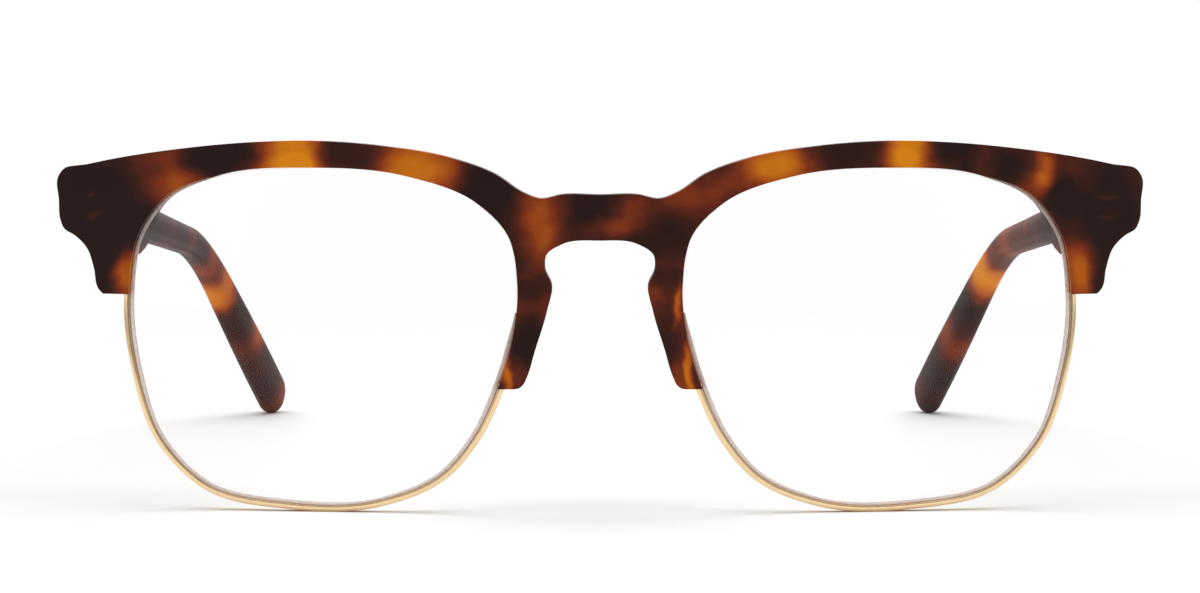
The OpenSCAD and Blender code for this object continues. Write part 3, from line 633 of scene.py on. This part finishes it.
def lensShell(bm, face):
    # one face of the lens, ring by ring from its edge to its middle
    rings = []
    for outline, off in lensBorder():
        if not rings:
            verts, edges = ringOf(bm, [(p.x, 0, p.y) for p in outline])
        else:
            fresh = set(ofKind(bmesh.ops.extrude_edge_only(bm, edges=edges)["geom"], bmesh.types.BMVert))
            verts = [next(e.other_vert(v) for e in v.link_edges if e.other_vert(v) in fresh)
                     for v in rings[-1]]
            edges = ringEdges(bm, verts)
        for v, p in zip(verts, outline):
            v.co = (p.x, lensDepth(p.x, p.y, -face * off), p.y)
        rings.append(verts)
    bm.faces.new(verts)
    return rings


def buildLens(side):
    word = "left" if side > 0 else "right"
    bm = bmesh.new()
    shells = [lensShell(bm, face) for face in (1, -1)]
    bmesh.ops.bridge_loops(bm, edges=[e for rings in shells for e in ringEdges(bm, rings[0])])
    bmesh.ops.recalc_face_normals(bm, faces=bm.faces)
    ground = {v for rings in shells for ring in rings[:4] for i, v in enumerate(ring)
              if facetWidth(i) > lens["groundFrom"]}
    for f in bm.faces:
        f.material_index = 1 if all(v in ground for v in f.verts) else 0
    if side < 0:
        mirrorX(bm)
    piece = finishMesh(bm, word + "_clear_lens", "front", word + "_lens", clearResin)
    piece.data.materials.append(frostedEdge)
    weighNormals(piece)


rim = {
    "width": front["rimWidth"],
    "depth": 1.8,
    "round": 0.12,
    "roundSteps": 4,
    "slope": 0.17,  # the front face leans outwards
    "gap": 0.02,
    "lip": 0.09,
    "lipRound": 0.08,
    "grooveDepth": 0.52,
    "grooveHalf": 0.4,
    "grooveFlare": 0.05,
    "into": 0.6,  # reach into the acetate, past lug and leg
    "sections": 220,
    "plateProud": 0.05,
    "plateDeep": 0.6,
    "plateLow": 0.3,
    "plateHigh": 3.2,
    "outerPlate": (1.7, 2.2),  # distance outside the eye's side, width
    "innerPlate": (0.7, 1.5),
    "neck": 0.6,
    "neckLow": 0.35,
    "neckOver": 0.2,
    "blockRound": 0.12,
}


def rimSection():
    # front face sloping outwards, rounded outer corners, groove inside
    w, h, r, steps = rim["width"], rim["depth"] / 2, rim["round"], rim["roundSteps"]
    gap, lip, soft = rim["gap"], rim["lip"], rim["lipRound"]
    points = [(gap, soft - h), (lip, -h)]
    for k in range(steps + 1):
        a = math.pi / 2 * (0.25 + 0.75 * k / steps)
        points.append((w - r + r * math.sin(a), rim["slope"] + r - h - r * math.cos(a)))
    for k in range(steps + 1):
        a = math.pi / 2 * k / steps
        points.append((w - r + r * math.cos(a), h - r + r * math.sin(a)))
    deep, half, mouth = rim["grooveDepth"], rim["grooveHalf"], rim["grooveHalf"] + rim["grooveFlare"]
    return points + [(lip, h), (gap, h - soft), (gap, mouth), (deep, half), (deep, -half), (gap, -mouth)]


def addBlock(bm, low, high, turn=None):
    # a small block with broken edges, turned onto the bent back if need be
    made = bmesh.ops.create_cube(bm, size=1)["verts"]
    size = Vector(high) - Vector(low)
    bmesh.ops.scale(bm, vec=size, verts=made)
    bmesh.ops.translate(bm, vec=(Vector(low) + Vector(high)) / 2, verts=made)
    if turn:
        bmesh.ops.transform(bm, matrix=turn, verts=made)
    edges = {e for v in made for e in v.link_edges}
    bmesh.ops.bevel(bm, geom=list(edges), offset=min(rim["blockRound"], min(size) / 4), offset_type="OFFSET",
                    affect="EDGES", segments=2, profile=0.5, material=-1)


def onBack(x):
    # frame of the bent back at x: across, outwards, up
    turn = Matrix.Rotation(math.asin(x / front["bendRadius"]), 4, "Z")
    return Matrix.Translation((x, faceY(x) + front["thickness"], 0)) @ turn


def addTab(bm, x, z, plateW, wireX):
    # plate for a screw, with its neck inside the acetate
    n, depth, neckZ = rim["neck"], lensDepth(wireX, z), z + rim["neckLow"]
    backY = faceY(x) + front["thickness"] - rim["neckOver"]
    addBlock(bm, (-plateW / 2, -rim["plateDeep"], z + rim["plateLow"]),
             (plateW / 2, rim["plateProud"], z + rim["plateHigh"]), onBack(x))
    addBlock(bm, (min(x, wireX) - rim["neckOver"], depth - n, neckZ),
             (max(x, wireX) + rim["neckOver"], depth + n, neckZ + n))
    addBlock(bm, (x - n, depth - n, neckZ), (x + n, backY, neckZ + n))


def buildRim(side):
    word = "left" if side > 0 else "right"
    bm = bmesh.new()
    section = rimSection()
    last = None
    for i in range(rim["sections"] + 1):
        s = mix(lugS + rim["into"], legS - rim["into"], i / rim["sections"])
        p = eyeAt(s)
        t = eyeAt(s, 1) - p
        places = [(p.x + e * t.x, p.y + e * t.y) for e, d in section]
        verts, edges = ringOf(bm, [(x, lensDepth(x, z) + d, z) for (x, z), (e, d) in zip(places, section)])
        if last:
            bmesh.ops.bridge_loops(bm, edges=last + edges)
        else:
            bm.faces.new(verts)
        last = edges
    bm.faces.new(verts)
    outerShift, outerW = rim["outerPlate"]
    innerShift, innerW = rim["innerPlate"]
    addTab(bm, sideX + outerShift, lugZ, outerW, sideX)
    addTab(bm, nasalX + innerShift, legZ, innerW, eyeAt(legS).x)
    bmesh.ops.recalc_face_normals(bm, faces=bm.faces)
    if side < 0:
        mirrorX(bm)
    piece = finishMesh(bm, word + "_gold_rim", "front", word + "_rim_wire", goldMetal)
    weighNormals(piece)


for side in (1, -1):
    buildLens(side)
    buildRim(side)
print("lenses and rims made")

temple = {
    "shaftLength": 96.0,
    "earLength": 49.0,
    "bendRadius": 48.0,
    "thickness": 4.2,
    "waistThickness": 3.8,
    "paddleThickness": 4.5,
    "buttHeight": 7.1,
    "shoulderHeight": 5.4,
    "shoulderLength": 25.0,
    "waistHeight": 4.4,
    "tipRadius": 3.6,
    "shaftLean": 0.047,
    "shaftDrop": 0.108,
    "earLean": 0.226,
    "buttGap": 0.05,
    "buttRound": 0.4,
    "buttSquareness": 5.5,  # 2 is an ellipse
    "shaftSquareness": 2.8,
    "earSquareness": 2.25,
    "hingeDrop": 4.4,
    "sides": 48,
    "shaftSteps": 40,
    "earSteps": 50,
    "normalWeight": 70,
}
buttPoint = Vector((lugX - temple["thickness"] / 2, buttY + temple["buttGap"], topZ - temple["hingeDrop"]))
shaftDir = Vector((-temple["shaftLean"], 1, -temple["shaftDrop"])).normalized()
# the tips stand on the table, as the rims do
shaftEndZ = buttPoint.z + temple["shaftLength"] * shaftDir.z
earFall = (shaftEndZ - temple["tipRadius"]) / (temple["earLength"] - temple["tipRadius"])
earRun = math.sqrt((1 - earFall**2) / (1 + temple["earLean"] ** 2))
earDir = Vector((-temple["earLean"] * earRun, earRun, -earFall))
bendAngle = math.acos(shaftDir.dot(earDir))
bendDir = (earDir - shaftDir.dot(earDir) * shaftDir).normalized()
bendCut = temple["bendRadius"] * math.tan(bendAngle / 2)
straightLength = temple["shaftLength"] - bendCut
arcLength = temple["bendRadius"] * bendAngle
templeLength = straightLength + arcLength + temple["earLength"] - bendCut
bendPoint = buttPoint + straightLength * shaftDir
earPoint = buttPoint + temple["shaftLength"] * shaftDir + bendCut * earDir


def pathAt(s):
    if s <= straightLength:
        return buttPoint + s * shaftDir, shaftDir
    if s >= straightLength + arcLength:
        return earPoint + (s - straightLength - arcLength) * earDir, earDir
    a = (s - straightLength) / temple["bendRadius"]
    place = bendPoint + temple["bendRadius"] * (math.sin(a) * shaftDir + (1 - math.cos(a)) * bendDir)
    return place, math.cos(a) * shaftDir + math.sin(a) * bendDir


def templeHeight(s):
    shoulder = temple["shoulderLength"]
    paddleS = templeLength - 2 * temple["tipRadius"]
    h = mix(temple["buttHeight"], temple["shoulderHeight"], smoothStep(0, shoulder, s))
    h = mix(h, temple["waistHeight"], smoothStep(shoulder, 0.6 * templeLength, s))
    return mix(h, 2 * temple["tipRadius"], smoothStep(0.66 * templeLength, paddleS, s))


def templeThickness(s):
    paddleS = templeLength - 3 * temple["tipRadius"]
    t = mix(temple["thickness"], temple["waistThickness"], smoothStep(0, 0.4 * templeLength, s))
    return mix(t, temple["paddleThickness"], smoothStep(0.55 * templeLength, paddleS, s))


def templeSquareness(s):
    e = mix(temple["buttSquareness"], temple["shaftSquareness"], smoothStep(4, 45, s))
    return mix(e, temple["earSquareness"], smoothStep(100, 140, s))


def templeRing(s, cut=0.0, scale=1.0):
    # upright at the butt, square to the path past the shoulder
    p, t = pathAt(s)
    k = smoothStep(0, temple["shoulderLength"], s)
    flatU = Vector((t.y, -t.x, 0)).normalized()
    u = mix(Vector((1, 0, 0)), flatU, k).normalized()
    w = mix(Vector((0, 0, 1)), flatU.cross(t), k).normalized()
    e = 2 / templeSquareness(s)
    halfU, halfW = templeThickness(s) / 2 - cut, templeHeight(s) / 2 - cut
    ring = []
    for i in range(temple["sides"]):
        a = 2 * math.pi * i / temple["sides"]
        c, n = math.cos(a), math.sin(a)
        across = halfU * math.copysign(abs(c) ** e, c)
        up = halfW * math.copysign(abs(n) ** e, n)
        ring.append(p + scale * (across * u + up * w))
    return ring


# bands of the temples: mm behind the butt, half length, strength, shift upwards
rightBands = ((10, 5, -0.1), (30, 6, 0.1), (48, 5, -0.1), (64, 2, 0.34, 1), (79, 4, 0.14), (97, 4, 0.24),
              (106.5, 4.6, 0.5), (116, 4, -0.12), (124.5, 3.4, 0.28, 1), (134, 4.6, -0.12), (141, 3, 0.1))
leftBands = ((12, 5, -0.08), (26, 5, 0.14), (46, 5, -0.1), (63, 2, 0.3, 1), (82, 5, 0.14),
             (102, 5.4, 0.5), (112, 4, -0.1), (122, 4, 0.22), (132, 4.6, -0.12), (140, 3, 0.1))


def templeAcetate(name, side, bands, seedShift):
    def bandPatch(s, halfS, strength, rise=0.0):
        p = pathAt(s)[0]
        return (side * p.x, p.y + frontY, p.z + rise), (tortoise["templeSpread"] * halfS,) * 3, strength

    patches = [bandPatch(*band) for band in bands]
    return tortoiseMaterial(name, patches, seedShift, tortoise["templeCloudScale"],
                            sheen=tortoise["templeSheen"])


leftAcetate = templeAcetate("tortoise left temple", 1, leftBands, (0.31, 0.0, 0.1))
rightAcetate = templeAcetate("tortoise right temple", -1, rightBands, (0.55, 0.1, 0.3))


def templeRings():
    # rounded butt, shaft, ear and round tip
    paddleS = templeLength - temple["tipRadius"]
    buttEnd = 3 * temple["buttRound"]
    rings = []
    for degrees in (0, 22, 45, 67, 90):
        a = math.radians(degrees)
        behind, cut = (temple["buttRound"] * (1 - k) for k in (math.cos(a), math.sin(a)))
        rings.append(templeRing(behind, cut))
    rings += [templeRing(mix(buttEnd, straightLength, i / temple["shaftSteps"]))
              for i in range(temple["shaftSteps"])]
    rings += [templeRing(mix(straightLength, paddleS, i / temple["earSteps"]))
              for i in range(temple["earSteps"] + 1)]
    for degrees in range(8, 88, 8):
        a = math.radians(degrees)
        rings.append(templeRing(paddleS + temple["tipRadius"] * math.sin(a), 0, math.cos(a)))
    return rings


def buildTemple(side):
    word = "left" if side > 0 else "right"
    bm = bmesh.new()
    last = None
    for ring in templeRings():
        verts, edges = ringOf(bm, [(side * p.x, p.y, p.z) for p in ring])
        if last:
            bmesh.ops.bridge_loops(bm, edges=last + edges)
        else:
            bm.faces.new(verts)
        last = edges
    tip = pathAt(templeLength)[0]
    end = bm.verts.new((side * tip.x, tip.y, tip.z))
    for e in last:
        bm.faces.new((*e.verts, end))
    bmesh.ops.recalc_face_normals(bm, faces=bm.faces)
    piece = finishMesh(bm, word + "_tortoise_temple", word + "_temple", word + "_temple",
                       leftAcetate if side > 0 else rightAcetate)
    weighNormals(piece, weight=temple["normalWeight"])


for side in (1, -1):
    buildTemple(side)
print("temples made")

pad = {
    "depth": 4.3,
    "into": 0.6,  # reach into the leg before it is cut off at the back
    "top": 0.72,  # shares of the leg's height
    "low": 0.26,
    "overlap": 1.08,
    "splay": 1.4,
    "halfFront": 1.05,
    "halfBack": 0.95,
    "lowX": 0.93,  # shares of half the bridge's gap
    "topX": 0.79,
    "fullness": 0.9,
    "seam": 0.02,
}


def buildPad(side):
    # a leaf on the back of the leg that leans outwards towards the back
    word = "left" if side > 0 else "right"
    backY = faceY(nasalX) + front["thickness"]
    top, low = legAt(pad["top"]), legAt(pad["low"])
    bm = bmesh.new()
    bmesh.ops.create_uvsphere(bm, u_segments=32, v_segments=20, radius=1)
    for v in bm.verts:
        x, y, z = v.co
        d = (y + 1) / 2
        half = pad["halfFront"] if y < 0 else pad["halfBack"]
        depth = mix(backY - pad["into"], backY + pad["depth"], d ** pad["fullness"])
        mid = mix(pad["lowX"], pad["topX"], (z + 1) / 2) * nasalX
        height = z * (top - low) / 2 * pad["overlap"]
        v.co = (side * (mid + pad["splay"] * d + half * x), depth, (top + low) / 2 + height)
    bmesh.ops.bisect_plane(bm, geom=bm.verts[:] + bm.edges[:] + bm.faces[:], clear_outer=True,
                           plane_co=(0, backY + pad["seam"], 0), plane_no=(0, -1, 0))
    bmesh.ops.holes_fill(bm, edges=[e for e in bm.edges if e.is_boundary])
    bmesh.ops.recalc_face_normals(bm, faces=bm.faces)
    finishMesh(bm, word + "_pad", "front", word + "_nose_pad", padAcetate)


for side in (1, -1):
    buildPad(side)
print("pads made")

carried = {
    "front_hinge": hingeMetal,
    "temple_hinge": hingeMetal,
    "hinge_screw": screwMetal,
    "outer_rim_screw": screwMetal,
    "inner_rim_screw": screwMetal,
    "core_wire": coreMetal,
}
for word in ("left", "right"):
    for part, material in carried.items():
        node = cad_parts[word + "_" + part]
        for slot in node.material_slots:
            slot.material = material
print("metal finished")

stageSet = {
    "floorSize": 6.0,
    "floorColour": 0.9,
    "fadeFrom": 0.16,
    "fadeTo": 0.34,
    "farGleam": 0.3,
    "wallLevel": 0.58,
    "gleamLevel": 1.3,
    "gleamFront": 0.08,
    "darkFrom": 0.80,  # cosines round the way to the camera
    "darkTo": 0.95,
    "lampPower": 8.6,
    "lampSize": (1.3, 1.0),
    "lampHeight": 1.0,
    "lampY": -0.03,
}


def tableMaterial(name):
    # a matt table that far from the glasses runs into the white backdrop
    material, tree = newMaterial(name)
    pale = stageSet["floorColour"]
    matt = addNode(tree, "BsdfDiffuse", in_0=(pale, pale, pale, 1))
    place = addNode(tree, "TexCoord").outputs["Object"]
    reachOut = addNode(tree, "VectorMath", operation="LENGTH", in_0=place)
    fade = addNode(tree, "MapRange", interpolation_type="SMOOTHSTEP", in_Value=reachOut.outputs["Value"],
                   in_From_Min=stageSet["fadeFrom"], in_From_Max=stageSet["fadeTo"])
    path = addNode(tree, "LightPath")
    seen = addNode(tree, "Math", operation="MAXIMUM", in_0=path.outputs["Is Camera Ray"],
                   in_1=path.outputs["Is Transmission Ray"])
    mirrored = addNode(tree, "Math", operation="MAXIMUM", in_0=seen.outputs[0],
                       in_1=path.outputs["Is Glossy Ray"])
    amount = addNode(tree, "Math", operation="MULTIPLY", in_0=mirrored.outputs[0], in_1=fade.outputs[0])
    # in a reflection the far table is only pale grey
    dimmer = addNode(tree, "Math", operation="MULTIPLY_ADD", in_0=seen.outputs[0],
                     in_1=1 - stageSet["farGleam"], in_2=stageSet["farGleam"])
    pure = addNode(tree, "Emission", in_Strength=dimmer.outputs[0])
    blend = addNode(tree, "MixShader", in_0=amount.outputs[0], in_1=matt.outputs[0], in_2=pure.outputs[0])
    addNode(tree, "OutputMaterial", in_0=blend.outputs[0])
    return material


def buildTable():
    bm = bmesh.new()
    bmesh.ops.create_grid(bm, x_segments=1, y_segments=1, size=stageSet["floorSize"])
    mesh = bpy.data.meshes.new("table")
    bm.to_mesh(mesh)
    bm.free()
    mesh.materials.append(tableMaterial("white table"))
    table = bpy.data.objects.new("table", mesh)
    bpy.context.collection.objects.link(table)


def buildWorld():
    # the camera sees white, gloss sees pale walls with a dark patch behind the camera
    world = bpy.context.scene.world or bpy.data.worlds.new("studio")
    bpy.context.scene.world = world
    world.use_nodes = True
    tree = world.node_tree
    tree.nodes.clear()
    ray = addNode(tree, "TexCoord").outputs["Generated"]
    ahead = addNode(tree, "VectorMath", operation="DOT_PRODUCT", in_0=ray, in_1=(0, -1, 0))
    dark = addNode(tree, "MapRange", interpolation_type="SMOOTHSTEP", in_Value=ahead.outputs["Value"],
                   in_From_Min=stageSet["darkFrom"], in_From_Max=stageSet["darkTo"],
                   in_To_Max=stageSet["gleamFront"] - stageSet["gleamLevel"])
    gleam = addNode(tree, "Math", operation="ADD", in_0=dark.outputs[0], in_1=stageSet["gleamLevel"])
    walls, bright, white = (
        addNode(tree, "Background", in_Color=(1, 1, 1, 1), in_Strength=level).outputs[0]
        for level in (stageSet["wallLevel"], gleam.outputs[0], 1.0))
    path = addNode(tree, "LightPath")
    seen = addNode(tree, "Math", operation="MAXIMUM", in_0=path.outputs["Is Camera Ray"],
                   in_1=path.outputs["Is Transmission Ray"])
    lit = addNode(tree, "MixShader", in_0=path.outputs["Is Glossy Ray"], in_1=walls, in_2=bright)
    blend = addNode(tree, "MixShader", in_0=seen.outputs[0], in_1=lit.outputs[0], in_2=white)
    addNode(tree, "OutputWorld", in_0=blend.outputs[0])


def placeAt(thing, place, aim):
    turn = (Vector(aim) - Vector(place)).to_track_quat("-Z", "Y")
    thing.matrix_world = Matrix.Translation(place) @ turn.to_matrix().to_4x4()


def areaLamp(name, place, aim, size, power):
    data = bpy.data.lights.new(name, "AREA")
    data.shape = "RECTANGLE"
    data.size, data.size_y = size
    data.energy = power
    lamp = bpy.data.objects.new(name, data)
    bpy.context.collection.objects.link(lamp)
    placeAt(lamp, place, aim)


buildTable()
buildWorld()
areaLamp("overhead softbox", (0, stageSet["lampY"], stageSet["lampHeight"]), (0, stageSet["lampY"], 0),
         stageSet["lampSize"], stageSet["lampPower"])

view = {
    "distance": 450.0,
    "elevation": 3.3,
    "aimHeight": 28.35,
    "focal": 104.625,
    "sensor": 36.0,
    "clip": (0.01, 20),
}


def placeCamera():
    data = bpy.data.cameras.new("camera")
    data.sensor_width = view["sensor"]
    data.lens = view["focal"]
    data.clip_start, data.clip_end = view["clip"]
    camera = bpy.data.objects.new("camera", data)
    bpy.context.collection.objects.link(camera)
    e = math.radians(view["elevation"])
    aim = Vector((0, frontY, view["aimHeight"]))
    eye = aim + view["distance"] * Vector((0, -math.cos(e), math.sin(e)))
    placeAt(camera, eye / 1000, aim / 1000)
    bpy.context.scene.camera = camera


placeCamera()
bpy.context.scene.view_settings.view_transform = "Standard"
print("stage set")
